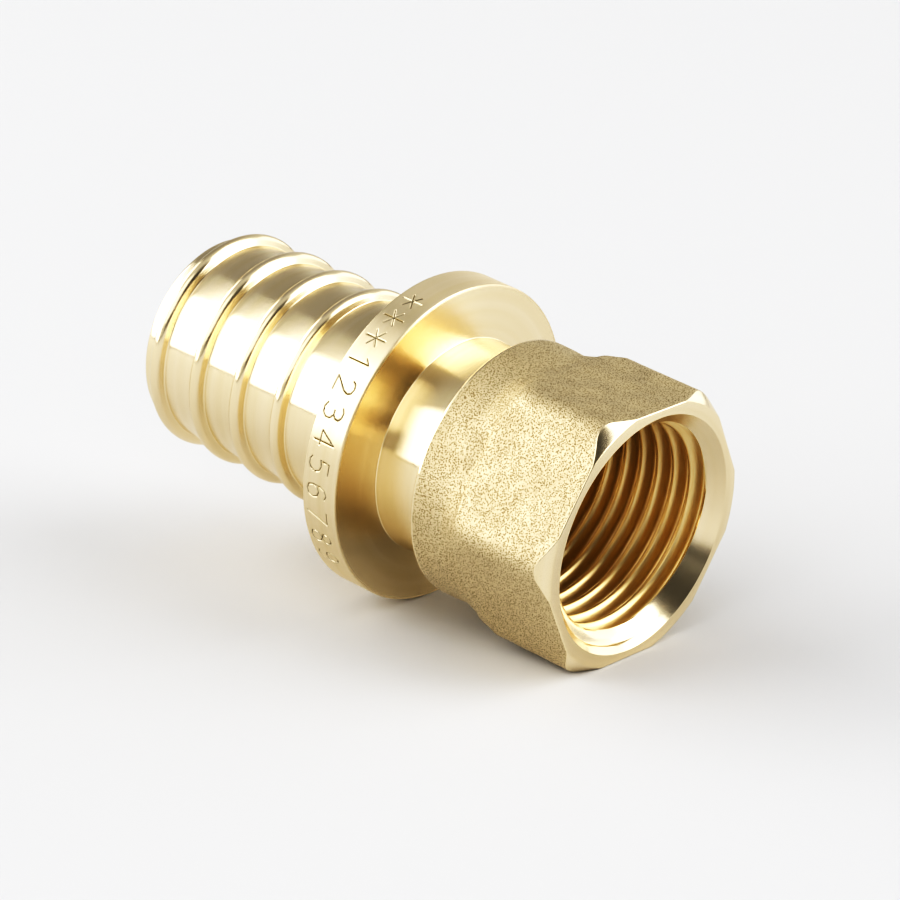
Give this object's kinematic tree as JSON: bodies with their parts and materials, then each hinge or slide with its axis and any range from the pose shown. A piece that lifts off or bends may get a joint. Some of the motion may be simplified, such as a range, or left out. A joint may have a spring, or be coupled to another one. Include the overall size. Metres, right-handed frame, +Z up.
{
  "type": "female threaded pex adapter",
  "caption": "Forged and turned brass pipe adapter: a ribbed spigot for sliding-sleeve PEX pipe, a stop collar, a neck and a hexagon with an internal pipe thread.",
  "frame": {"origin": "middle of the underside of its box as it lies on a table, on the collar's rim and the front edge of the lower flat", "axes": "+X towards the threaded end, +Z up; the fitting's own axis lies in the XZ plane and dips 7.7 degrees towards the threaded end"},
  "size_m": [0.0536, 0.0296, 0.0298],
  "materials": {
    "brass": "turned bright on the spigot, collar and neck, sand-blasted forging on the hexagon"
  },
  "bodies": {
    "root": {"adapter_body": "brass"}
  },
  "joints": []
}
